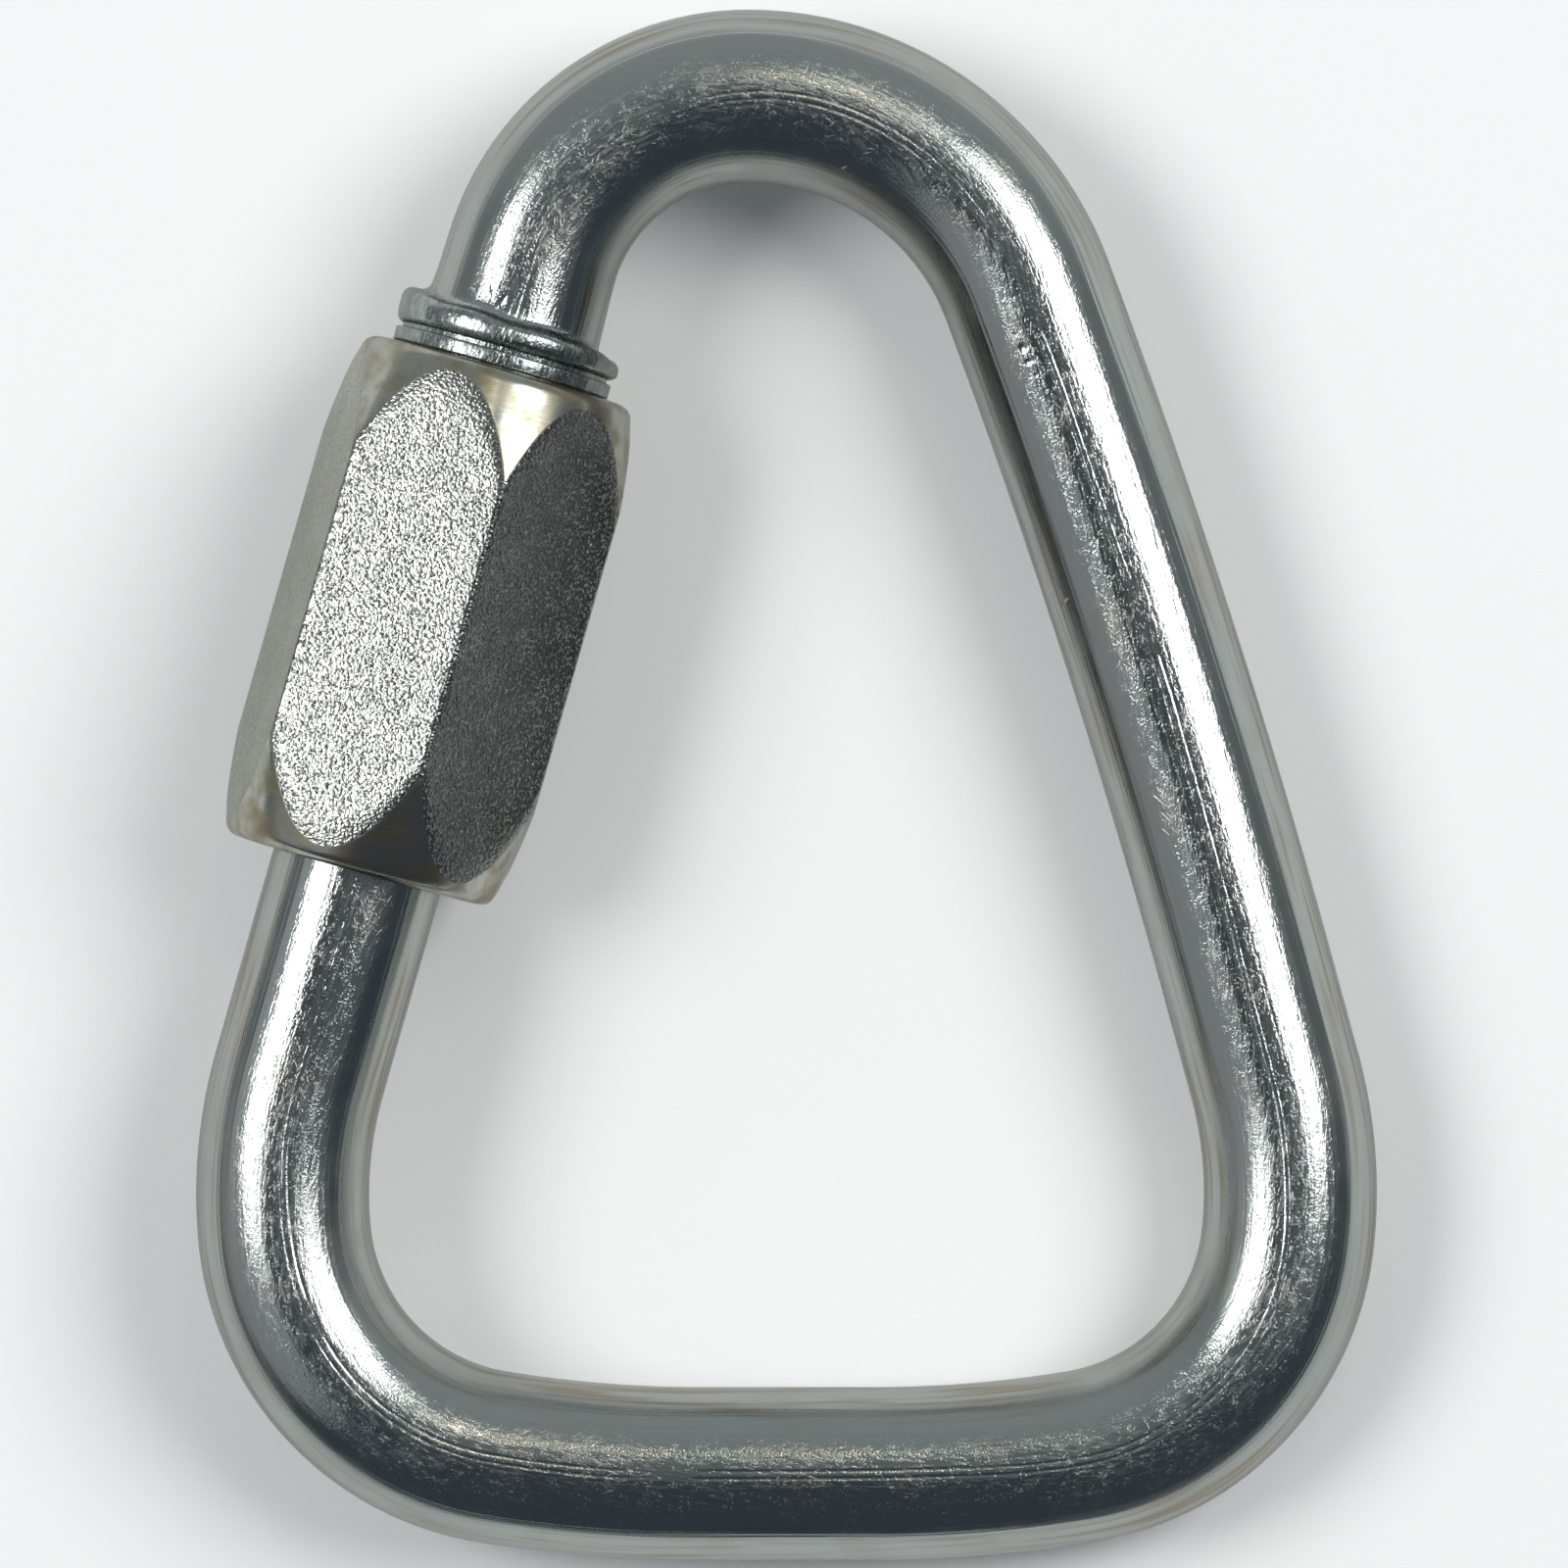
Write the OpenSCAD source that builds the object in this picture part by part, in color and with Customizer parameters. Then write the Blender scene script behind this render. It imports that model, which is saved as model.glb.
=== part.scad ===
// Delta quick link: a round steel bar bent into a triangle, and a long hexagonal nut that
// screws across the gap in its left leg. Millimetres.
// The bar's axis lies in the XY plane with the crown towards +Y.
// Origin: the middle of the base bar, on the bar's axis.

/* [Bar] */
// Diameter of the round bar
bar_d = 8; // [7:0.1:8.4]
// Clear length inside, from the base bar to the crown
inside_length = 55.7; // [54:0.1:60]
// Clear width inside, at its widest, just above the base bar
inside_width = 38.6; // [37.5:0.1:40]
// Lean of the left leg, which carries the nut, off the long axis, in degrees
left_lean = 15.9; // [15:0.1:17]
// Lean of the right leg where it leaves its base bend, in degrees
right_lean = 15.2; // [14:0.1:15.5]

/* [Bends, on the bar's axis] */
// Radius of the tight part of both base bends
base_bend_r = 11.5; // [10:0.1:12]
// Radius of the slow curve from the base bar into each bend
base_ease_r = 60; // [50:1:70]
// Angle that this slow curve turns through
base_ease_angle = 9.2; // [8:0.1:10]
// Radius of the slow curve from each bend into its leg
leg_ease_r = 20.5; // [18:0.1:24]
// Angle that this slow curve turns through
leg_ease_angle = 21; // [19:0.5:23]
// Radius of the right leg's bow towards the crown
leg_bow_r = 370; // [340:5:380]
// Angle that the bow turns through
leg_bow_angle = 5.2; // [4.8:0.1:5.4]
// Radius of the right half of the crown
crown_r = 13.8; // [13:0.1:14.5]

/* [Collar] */
// Straight bar between the crown and the collar
stub_length = 3.2; // [2:0.1:4.5]
// Diameter of the collar's flange
flange_d = 10.6; // [10.2:0.1:12]
// Thickness of the flange
flange_t = 1.2; // [1:0.1:1.6]
// Rounding of the flange's edges
flange_round = 0.45; // [0.2:0.05:0.5]
// Width of the groove below the flange
groove_w = 0.2; // [0.1:0.05:0.4]
// Depth of the groove below the ring's face
groove_depth = 0.25; // [0.1:0.05:0.4]
// Diameter of the ring that stops the nut
ring_d = 10.3; // [9.9:0.1:11]
// Thickness of the ring
ring_t = 0.7; // [0.5:0.1:1.2]

/* [Threaded ends] */
// Diameter over the rolled thread, which stands proud of the bar
thread_d = 9.2; // [8.8:0.1:9.4]
// Threaded length under the collar
upper_thread = 5; // [4:0.5:6]
// Threaded length of the lower end
lower_thread = 7; // [5:0.5:8]
// Gap between the two ends that the nut bridges
gate_gap = 9; // [7:0.5:10]
// Chamfer on the tip of each end
tip_chamfer = 0.6; // [0.3:0.1:1]

/* [Nut] */
// Width across the flats
nut_af = 13; // [12.5:0.1:14]
// Length of the nut
nut_length = 24; // [22:0.5:26]
// How much narrower than across the flats the turned dome is at each end face
nut_end_inset = 0.4; // [0.3:0.05:0.8]
// Slope of the turned dome off the nut's axis at the end face, in degrees
nut_dome_angle = 15.6; // [14:0.2:18]
// Radius of the dome's profile along the nut
nut_dome_r = 60; // [50:1:80]
// Rounding between the dome and the end face
nut_end_round = 0.7; // [0.3:0.1:0.8]
// Chamfer at both mouths of the bore
bore_chamfer = 0.25; // [0.1:0.05:0.4]
// Turn of the nut on its thread, in degrees
nut_turn = 15.5; // [0:0.5:59]

/* [Fits] */
// Radial clearance of the nut on the thread
thread_clearance = 0.05; // [0.02:0.01:0.1]
// Play between the tightened nut and the ring
seat_play = 0.05; // [0.02:0.01:0.1]

/* [Hidden] */
$fn = 96;
// Lengths of the bar are slim and full by turns: a slim one reaches this far into its neighbours
lap = 0.2;
// A full one is thicker by this, so that it closes round the slim ends
lap_cover = 0.02;
// Length and half width of the triangle on the bar's axis
axis_length = inside_length + bar_d;
axis_half_width = (inside_width + bar_d) / 2;

// A base bend: direction of the bar where its tight part ends, for a leg of this lean
function tight_end(lean) = 90 + lean - leg_ease_angle;
// Direction in which the bend's widest point lies inside its tight part
function widest(lean) = min(tight_end(lean), 90);
// Distance from the bend's start to its widest point, along X
function bend_reach(lean) = base_ease_r * sin(base_ease_angle)
    + base_bend_r * (sin(widest(lean)) - sin(base_ease_angle))
    + leg_ease_r * (1 - sin(widest(lean)));
// Distance from the bend's start to its end, along X
function bend_run(lean) = base_ease_r * sin(base_ease_angle)
    + base_bend_r * (sin(tight_end(lean)) - sin(base_ease_angle))
    + leg_ease_r * (cos(lean) - sin(tight_end(lean)));
// Distance from the bend's start to its end, along Y
function bend_rise(lean) = base_ease_r * (1 - cos(base_ease_angle))
    + base_bend_r * (cos(base_ease_angle) - cos(tight_end(lean)))
    + leg_ease_r * (cos(tight_end(lean)) + sin(lean));
// Straight half of the base bar on the side of this leg
function base_half(lean) = axis_half_width - bend_reach(lean);
// The bend as steps of the bar: slow curve, tight part, slow curve
function base_bend(lean) = [
    [base_ease_r, base_ease_angle],
    [base_bend_r, tight_end(lean) - base_ease_angle],
    [leg_ease_r, leg_ease_angle]
];

// Right leg: direction at the end of its bow, and the straight that reaches the set length
shoulder = 90 + right_lean + leg_bow_angle;
bow_rise = leg_bow_r * (cos(90 + right_lean) - cos(shoulder));
bow_run = leg_bow_r * (sin(shoulder) - sin(90 + right_lean));
crown_rise = crown_r * (1 + cos(shoulder));
right_straight = (axis_length - bend_rise(right_lean) - bow_rise - crown_rise) / cos(right_lean);

// Crown: its top point, and the radius that brings its left half on to the left leg
top_x = base_half(right_lean) + bend_run(right_lean) - right_straight * sin(right_lean)
    + bow_run - crown_r * sin(shoulder);
foot_x = -base_half(left_lean) - bend_run(left_lean);
foot_y = bend_rise(left_lean);
crown_left_r = ((top_x - foot_x) * cos(left_lean) - (axis_length - foot_y) * sin(left_lean))
    / (1 - sin(left_lean));
crown_end_y = axis_length - crown_left_r * (1 - sin(left_lean));

// Left leg: lengths along it from the crown's end to its foot
collar_t = flange_t + groove_w + ring_t;
left_straight = (crown_end_y - foot_y) / cos(left_lean);
seat_from_foot = left_straight - stub_length - collar_t;
run_out = (thread_d - bar_d) / 2;
lower_bar = seat_from_foot - upper_thread - gate_gap - lower_thread - run_out;
seat_x = foot_x + seat_from_foot * sin(left_lean);
seat_y = foot_y + seat_from_foot * cos(left_lean);

// Nut: across the corners, bore, centre of the dome and ends of the rounding
nut_ac = nut_af / cos(30);
bore_d = thread_d + 2 * thread_clearance;
end_r = (nut_af - nut_end_inset) / 2;
dome_x = end_r - nut_dome_r * cos(nut_dome_angle);
dome_z = nut_dome_r * sin(nut_dome_angle);
round_reach = nut_dome_r - nut_end_round;
round_r = dome_x + sqrt(pow(round_reach, 2) - pow(dome_z - nut_end_round, 2));
edge_r = dome_x + (round_r - dome_x) * nut_dome_r / round_reach;
edge_z = dome_z + (nut_end_round - dome_z) * nut_dome_r / round_reach;
overshoot = 1;

// One step of the bar from the origin along +X: [length] is straight,
// [radius, angle] turns towards +Y
module bar_step(step, full) {
    d = full ? bar_d + lap_cover : bar_d;
    reach = full ? 0 : lap;
    reach_angle = reach / step[0] * 180 / PI;
    if (len(step) == 1)
        translate([-reach, 0, 0])
            rotate([0, 90, 0])
                cylinder(h = step[0] + 2 * reach, d = d);
    else
        translate([0, step[0], 0])
            rotate([0, 0, -90 - reach_angle])
                rotate_extrude(angle = step[1] + 2 * reach_angle)
                    translate([step[0], 0])
                        circle(d = d);
}

// Moves its children to the end of a step
module after(step) {
    if (len(step) == 1)
        translate([step[0], 0, 0])
            children();
    else
        translate([0, step[0], 0])
            rotate([0, 0, step[1]])
                translate([0, -step[0], 0])
                    children();
}

// The bar through its steps, full and slim by turns, with its children at the end
module bar_run(steps, full, i = 0) {
    if (i < len(steps)) {
        bar_step(steps[i], full);
        after(steps[i])
            bar_run(steps, !full, i + 1)
                children();
    } else {
        children();
    }
}

// Disc with rounded edges, as an outline to turn
module rounded_disc(d, t, rounding) {
    square([d / 2 - rounding, t]);
    translate([0, rounding])
        square([d / 2, t - 2 * rounding]);
    for (y = [rounding, t - rounding])
        translate([d / 2 - rounding, y])
            circle(r = rounding);
}

// Upset collar: rounded flange, groove and the ring that stops the nut
module collar() {
    rotate_extrude() {
        rounded_disc(flange_d, flange_t, flange_round);
        square([ring_d / 2 - groove_depth, collar_t]);
        translate([0, flange_t + groove_w])
            square([ring_d / 2, ring_t]);
    }
}

// Thread as a plain cylinder over its crests, with a chamfered tip
module threaded_end(length) {
    cylinder(h = length - tip_chamfer, d = thread_d);
    translate([0, 0, length - tip_chamfer])
        cylinder(h = tip_chamfer, d1 = thread_d, d2 = thread_d - 2 * tip_chamfer);
}

// End of the bar with the collar
module upper_end() {
    rotate([0, 90, 0]) {
        collar();
        translate([0, 0, collar_t])
            threaded_end(upper_thread);
    }
}

// End of the bar that holds the opened nut
module lower_end() {
    rotate([0, 90, 0]) {
        cylinder(h = run_out, d1 = bar_d + lap_cover, d2 = thread_d);
        translate([0, 0, run_out])
            threaded_end(lower_thread);
    }
}

// The one bent bar: base, right leg and crown to the collar, then the lower left leg
module bent_bar() {
    right_steps = concat(
        [[base_half(left_lean) + base_half(right_lean)]],
        base_bend(right_lean),
        [[right_straight], [leg_bow_r, leg_bow_angle], [crown_r, 180 - shoulder]],
        [[crown_left_r, 90 - left_lean], [stub_length]]
    );
    left_steps = concat(base_bend(left_lean), [[lower_bar]]);
    color("#b9bcc0") {
        translate([-base_half(left_lean), 0, 0])
            bar_run(right_steps, full = false)
                upper_end();
        translate([-base_half(left_lean), 0, 0])
            mirror([1, 0, 0])
                bar_run(left_steps, full = true)
                    lower_end();
    }
}

// Outline of the turned blank: a dome from each end, rounded into the end face
module blank_outline() {
    intersection() {
        translate([dome_x, dome_z])
            circle(r = nut_dome_r);
        translate([dome_x, nut_length - dome_z])
            circle(r = nut_dome_r);
        translate([0, edge_z])
            square([nut_ac, nut_length - 2 * edge_z]);
    }
    polygon([
        [0, 0],
        [round_r, 0],
        [round_r, nut_end_round],
        [edge_r, edge_z],
        [edge_r, nut_length - edge_z],
        [round_r, nut_length - nut_end_round],
        [round_r, nut_length],
        [0, nut_length]
    ]);
    for (y = [nut_end_round, nut_length - nut_end_round])
        translate([round_r, y])
            circle(r = nut_end_round);
}

// Bore of the nut with a chamfer at each mouth
module nut_bore() {
    translate([0, 0, -overshoot])
        cylinder(h = nut_length + 2 * overshoot, d = bore_d);
    cylinder(h = bore_chamfer, d1 = bore_d + 2 * bore_chamfer, d2 = bore_d);
    translate([0, 0, nut_length - bore_chamfer])
        cylinder(h = bore_chamfer, d1 = bore_d, d2 = bore_d + 2 * bore_chamfer);
}

// Hexagonal sleeve nut, tightened up to the collar
module sleeve_nut() {
    color("#a7a8a4")
        translate([seat_x, seat_y, 0])
            rotate([90, 0, -left_lean])
                translate([0, 0, seat_play])
                    rotate([0, 0, nut_turn])
                        difference() {
                            intersection() {
                                cylinder(h = nut_length, d = nut_ac, $fn = 6);
                                rotate_extrude()
                                    blank_outline();
                            }
                            nut_bore();
                        }
}

bent_bar();
sleeve_nut();
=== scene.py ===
import logging
import math
from dataclasses import dataclass, field
from enum import Enum

import bpy
import numpy as np
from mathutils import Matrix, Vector


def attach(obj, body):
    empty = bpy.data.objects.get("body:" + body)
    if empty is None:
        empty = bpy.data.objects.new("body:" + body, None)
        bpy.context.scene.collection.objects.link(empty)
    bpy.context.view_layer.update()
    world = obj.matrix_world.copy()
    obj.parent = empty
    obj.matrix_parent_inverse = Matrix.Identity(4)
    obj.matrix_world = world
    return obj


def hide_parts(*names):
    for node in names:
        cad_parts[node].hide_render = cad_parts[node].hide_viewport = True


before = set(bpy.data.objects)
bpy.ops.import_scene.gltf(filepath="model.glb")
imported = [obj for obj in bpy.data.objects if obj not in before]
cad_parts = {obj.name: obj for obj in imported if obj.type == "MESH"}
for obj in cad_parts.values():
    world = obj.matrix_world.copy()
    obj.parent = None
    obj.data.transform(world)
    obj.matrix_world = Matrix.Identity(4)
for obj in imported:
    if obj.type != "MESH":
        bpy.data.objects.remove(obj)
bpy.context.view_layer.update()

log = logging.getLogger("quick_link")

Tree = bpy.types.NodeTree
Socket = bpy.types.NodeSocket
Span = tuple[float, float]

# sizes are in millimetres and the scene is in metres
MM = 0.001
# faces that meet at more than this many degrees keep a sharp edge
SHARP_DEG = 34
# values between which most of a noise lies
NOISE_RANGE: Span = (0.3, 0.7)


class Slot(Enum):
    """Material slots of the record."""

    BAR = "bar_zinc"
    NUT = "nut_zinc"


class Body(Enum):
    """Bodies of the record that pieces ride on."""

    BAR = "bar"
    NUT = "nut"


class Face(Enum):
    """Which finish a face of the nut takes, as its material index."""

    BLASTED = 0
    TURNED = 1


def linear(hex_colour: str) -> tuple[float, float, float, float]:
    """Turns an sRGB hex colour into linear RGBA.

    Args:
        hex_colour: Six hex digits after a hash.

    Returns:
        Linear red, green, blue and an alpha of 1.
    """
    shares = [int(hex_colour[i : i + 2], 16) / 255 for i in (1, 3, 5)]
    flat = [c / 12.92 if c <= 0.04045 else ((c + 0.055) / 1.055) ** 2.4 for c in shares]
    return (flat[0], flat[1], flat[2], 1.0)


def add_node(
    tree: Tree, kind: str, inputs: dict[str | int, object] | None = None, **settings: object
) -> bpy.types.Node:
    """Adds a node with its settings, values and links.

    Args:
        tree: Node tree to add to.
        kind: Node type after the ShaderNode prefix.
        inputs: Values or output sockets by input name or index.
        settings: Properties of the node itself.

    Returns:
        The new node.
    """
    node = tree.nodes.new(f"ShaderNode{kind}")
    for name, value in settings.items():
        setattr(node, name, value)
    for key, value in (inputs or {}).items():
        if isinstance(value, Socket):
            tree.links.new(value, node.inputs[key])
        else:
            node.inputs[key].default_value = value
    return node


def new_material(name: str) -> tuple[bpy.types.Material, Tree]:
    """Makes an empty node material.

    Args:
        name: The real material and its finish.

    Returns:
        The material and its cleared node tree.
    """
    material = bpy.data.materials.new(name)
    material.use_nodes = True
    material.node_tree.nodes.clear()
    return material, material.node_tree


def metal_output(tree: Tree, inputs: dict[str | int, object]) -> None:
    """Ends a tree in a metallic surface.

    Args:
        tree: Node tree to end.
        inputs: Inputs of the surface, beside its metalness.
    """
    surface = add_node(tree, "BsdfPrincipled", {"Metallic": 1.0, **inputs})
    add_node(tree, "OutputMaterial", {"Surface": surface.outputs["BSDF"]})


def mesh_object(
    name: str, points: np.ndarray, quads: np.ndarray, fans: list[list[int]]
) -> bpy.types.Object:
    """Makes a smooth-shaded mesh object with sharp edges where faces meet steeply.

    Args:
        name: Object name.
        points: Vertices in metres, one row each.
        quads: Four vertex indices a row.
        fans: Further faces as index lists.

    Returns:
        The linked object.
    """
    mesh = bpy.data.meshes.new(name)
    mesh.from_pydata(points.tolist(), [], quads.tolist() + fans)
    mesh.polygons.foreach_set("use_smooth", np.ones(len(mesh.polygons), bool))
    mesh.set_sharp_from_angle(angle=math.radians(SHARP_DEG))
    mesh.update()
    made = bpy.data.objects.new(name, mesh)
    bpy.context.scene.collection.objects.link(made)
    return made


def set_attribute(obj: bpy.types.Object, name: str, values: np.ndarray) -> None:
    """Stores one value or vector a vertex for the materials.

    Args:
        obj: Mesh object.
        name: Attribute name.
        values: A row of three, or one number, a vertex.
    """
    vector = values.ndim == 2
    layer = obj.data.attributes.new(name, "FLOAT_VECTOR" if vector else "FLOAT", "POINT")
    layer.data.foreach_set("vector" if vector else "value", values.astype(np.float32).ravel())


@dataclass(frozen=True)
class Nick:
    """One mark on the bar, in millimetres along it and degrees round it."""

    along: float
    around: float
    length: float
    width: float
    depth: float
    turn: float = 0.0


@dataclass(frozen=True)
class BrightZinc:
    """Bright zinc plate on cold-drawn steel bar, bent and then worn by use. Millimetres and degrees."""

    # Drawing leaves a mirror with fine lines along the bar, so the straights show the lamps as clear
    # bands. Bending turns the plate satin, use rubs and scratches the faces that the link lies on, and
    # the sides between those faces are duller, with brown streaks.
    name: str = "bright zinc plate on drawn steel"
    colour: str = "#a6aba8"
    stain: str = "#a5a6a0"
    tarnish: str = "#938c7c"
    crust: str = "#848d8b"
    edge: float = 0.72
    # roughness of the straights and of the bends, and what each kind of wear adds to it
    straight_roughness: float = 0.08
    bend_roughness: float = 0.15
    cloud_roughness: Span = (-0.03, 0.05)
    scuff_roughness: float = 0.26
    rub_roughness: float = 0.12
    side_roughness: float = 0.19
    upset_roughness: float = 0.08
    # heights off the bar's axis over which a face becomes rubbed, and over which a side ends
    rubbed_from: Span = (3.1, 3.85)
    side_until: Span = (2.2, 3.6)
    # length and width of streaks; real drawing lines and scratches are finer, and are drawn to show
    line_mm: Span = (14.0, 0.2)
    scratch_mm: Span = (1.3, 0.1)
    rub_mm: Span = (0.7, 0.16)
    tarnish_mm: Span = (7.0, 0.4)
    # turns of scratches and rubbed streaks off the bar's length, round an axis that slants off the surface
    scratch_turns: Span = (24.0, -33.0)
    rub_turn: float = 9.0
    turn_axis: tuple[float, float, float] = (0.2, 0.5, 0.84)
    # width of the pits in the plate, drawn coarser than real, of the upset collar's crust and of clouds
    pit_mm: float = 0.12
    crust_mm: float = 0.45
    cloud_mm: float = 2.4
    # noise at which marks begin and are full, and the same for the patches in which they gather
    scratch_peaks: Span = (0.63, 0.75)
    scratch_patches: Span = (0.47, 0.63)
    fleck_peaks: Span = (0.52, 0.68)
    fleck_patches: Span = (0.44, 0.6)
    rub_peaks: Span = (0.44, 0.66)
    tarnish_peaks: Span = (0.48, 0.76)
    stain_peaks: Span = (0.5, 0.8)
    crust_peaks: Span = (0.3, 0.6)
    # relief of each kind of mark, with the pits' first on plain and then on rubbed faces
    line_height: float = 0.0143
    scratch_depth: float = 0.0055
    pit_heights: Span = (0.00154, 0.00836)
    fleck_height: float = 0.0033
    rub_height: float = 0.004125
    crust_height: float = 0.0385
    # the pair of grooves along the bar: places across it, size, and how they wander and fade along it
    groove_sides: Span = (0.04, 0.38)
    groove_width: float = 0.26
    groove_depth: float = 0.0187
    wander: float = 0.2
    wander_run: float = 20.0
    fade_run: float = 9.09
    fade_peaks: Span = (0.3, 0.42)

    def build(self, nicks: tuple[Nick, ...], bar_r: float) -> bpy.types.Material:
        """Builds the plated bar's material.

        Args:
            nicks: Marks to press into it.
            bar_r: Radius of the bar in millimetres.

        Returns:
            The material.
        """
        material, tree = new_material(self.name)
        at = add_node(tree, "Attribute", attribute_name="straight").outputs["Vector"]
        bend, upset = (
            add_node(tree, "Attribute", attribute_name=name).outputs["Fac"] for name in ("bend", "upset")
        )
        pits, crust, cloud = (
            add_node(tree, "TexNoise", {"Vector": at, "Scale": 1 / size, "Detail": detail}).outputs["Fac"]
            for size, detail in ((self.pit_mm, 2.0), (self.crust_mm, 3.0), (self.cloud_mm, 3.0))
        )
        dirt = add_node(tree, "Math", {0: crust, 1: upset}, operation="MULTIPLY").outputs["Value"]
        # the faces that the link lies on, and the sides between them, by height off the bar's axis
        up = add_node(tree, "SeparateXYZ", {"Vector": at}).outputs["Z"]
        high = add_node(tree, "Math", {0: up}, operation="ABSOLUTE").outputs["Value"]
        rubbed = self._marks(tree, high, self.rubbed_from)
        flank = self._marks(tree, high, self.side_until)
        sides = add_node(tree, "Math", {0: 1.0, 1: flank}, operation="SUBTRACT").outputs["Value"]
        tarnish = self._marks(tree, self._streaks(tree, at, self.tarnish_mm), self.tarnish_peaks, sides)
        # scratches cross both ways in worn patches, and flecks lie in clusters among matt rubbed streaks
        worn = self._marks(tree, cloud, self.scratch_patches, rubbed)
        left, right = (
            self._marks(tree, self._streaks(tree, at, self.scratch_mm, turn), self.scratch_peaks, worn)
            for turn in self.scratch_turns
        )
        scratch = add_node(tree, "Math", {0: left, 1: right}, operation="MAXIMUM").outputs["Value"]
        fleck = self._marks(
            tree, pits, self.fleck_peaks, self._marks(tree, crust, self.fleck_patches, rubbed)
        )
        streaky = self._streaks(tree, at, self.rub_mm, self.rub_turn)
        rub = self._marks(tree, streaky, self.rub_peaks, rubbed)
        plain_pit, rubbed_pit = self.pit_heights
        deep = add_node(tree, "MapRange", {"Value": rubbed, "To Min": plain_pit, "To Max": rubbed_pit})
        pitted = add_node(tree, "Math", {0: pits, 1: deep.outputs["Result"]}, operation="MULTIPLY")
        height = self._sum(
            tree,
            [
                (self._grooves(tree, at), -self.groove_depth),
                (self._streaks(tree, at, self.line_mm), self.line_height),
                (scratch, -self.scratch_depth),
                (pitted.outputs["Value"], 1.0),
                (fleck, self.fleck_height),
                (rub, self.rub_height),
                (dirt, self.crust_height),
            ],
        )
        for nick in nicks:
            height = self._press(tree, at, height, nick, bar_r)
        bump = add_node(tree, "Bump", {"Height": height, "Distance": MM, "Strength": 1.0})
        rough = self._sum(
            tree,
            [
                (self._plate_roughness(tree, bend, cloud), 1.0),
                (scratch, self.scuff_roughness),
                (fleck, self.scuff_roughness),
                (rub, self.rub_roughness),
                (sides, self.side_roughness),
                (upset, self.upset_roughness),
            ],
        )
        metal_output(
            tree,
            {
                "Base Color": self._colours(tree, cloud, tarnish, dirt),
                "Roughness": rough,
                "Normal": bump.outputs["Normal"],
                "Specular Tint": (self.edge, self.edge, self.edge, 1.0),
            },
        )
        return material

    def _plate_roughness(self, tree: Tree, bend: Socket, cloud: Socket) -> Socket:
        """Makes the straights smoother than the bends, a little uneven in clouds.

        Args:
            tree: Node tree.
            bend: How much the bar is bent, from 0 to 1.
            cloud: Noise of the clouds.

        Returns:
            Roughness of the unworn plate.
        """
        plate = add_node(
            tree,
            "MapRange",
            {"Value": bend, "To Min": self.straight_roughness, "To Max": self.bend_roughness},
        )
        uneven = add_node(
            tree,
            "MapRange",
            {
                "Value": cloud,
                "From Min": NOISE_RANGE[0],
                "From Max": NOISE_RANGE[1],
                "To Min": self.cloud_roughness[0],
                "To Max": self.cloud_roughness[1],
            },
        )
        return self._sum(tree, [(plate.outputs["Result"], 1.0), (uneven.outputs["Result"], 1.0)])

    def _colours(self, tree: Tree, cloud: Socket, tarnish: Socket, dirt: Socket) -> Socket:
        """Lays the stain of clouds, the brown streaks and the collar's crust over the plate's colour.

        Args:
            tree: Node tree.
            cloud: Noise of the clouds.
            tarnish: Brown streaks of the sides, from 0 to 1.
            dirt: Noise of the crust on the upset collar.

        Returns:
            The colour.
        """
        stain, cover = (
            add_node(tree, "MapRange", {"Value": noise, "From Min": peaks[0], "From Max": peaks[1]})
            for noise, peaks in ((cloud, self.stain_peaks), (dirt, self.crust_peaks))
        )
        layers = (
            (stain.outputs["Result"], self.stain),
            (tarnish, self.tarnish),
            (cover.outputs["Result"], self.crust),
        )
        colour = linear(self.colour)
        for share, layer in layers:
            mix = add_node(
                tree, "Mix", {"Factor": share, "A": colour, "B": linear(layer)}, data_type="RGBA"
            )
            colour = mix.outputs["Result"]
        return colour

    def _grooves(self, tree: Tree, at: Socket) -> Socket:
        """Adds the pair of grooves that drawing left along the bar, wandering and fading in places.

        Args:
            tree: Node tree.
            at: Position along and round the bar, in millimetres.

        Returns:
            The grooves from 0 to 1.
        """
        parts = add_node(tree, "SeparateXYZ", {"Vector": at})
        long, side = parts.outputs["X"], parts.outputs["Y"]
        drift, fade = (
            add_node(tree, "TexNoise", {"W": long, "Scale": 1 / run, "Detail": 1.0}, noise_dimensions="1D")
            for run in (self.wander_run, self.fade_run)
        )
        shift = add_node(
            tree,
            "MapRange",
            {
                "Value": drift.outputs["Fac"],
                "From Min": NOISE_RANGE[0],
                "From Max": NOISE_RANGE[1],
                "To Min": -self.wander,
                "To Max": self.wander,
            },
        )
        off = add_node(tree, "Math", {0: side, 1: shift.outputs["Result"]}, operation="SUBTRACT")
        lines = []
        for place in self.groove_sides:
            gap = add_node(tree, "Math", {0: off.outputs["Value"], 1: place}, operation="SUBTRACT")
            far = add_node(tree, "Math", {0: gap.outputs["Value"]}, operation="ABSOLUTE")
            line = add_node(
                tree,
                "MapRange",
                {
                    "Value": far.outputs["Value"],
                    "From Max": self.groove_width / 2,
                    "To Min": 1.0,
                    "To Max": 0.0,
                },
                interpolation_type="SMOOTHSTEP",
            )
            lines.append((line.outputs["Result"], 1.0))
        return self._marks(tree, fade.outputs["Fac"], self.fade_peaks, self._sum(tree, lines))

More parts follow.
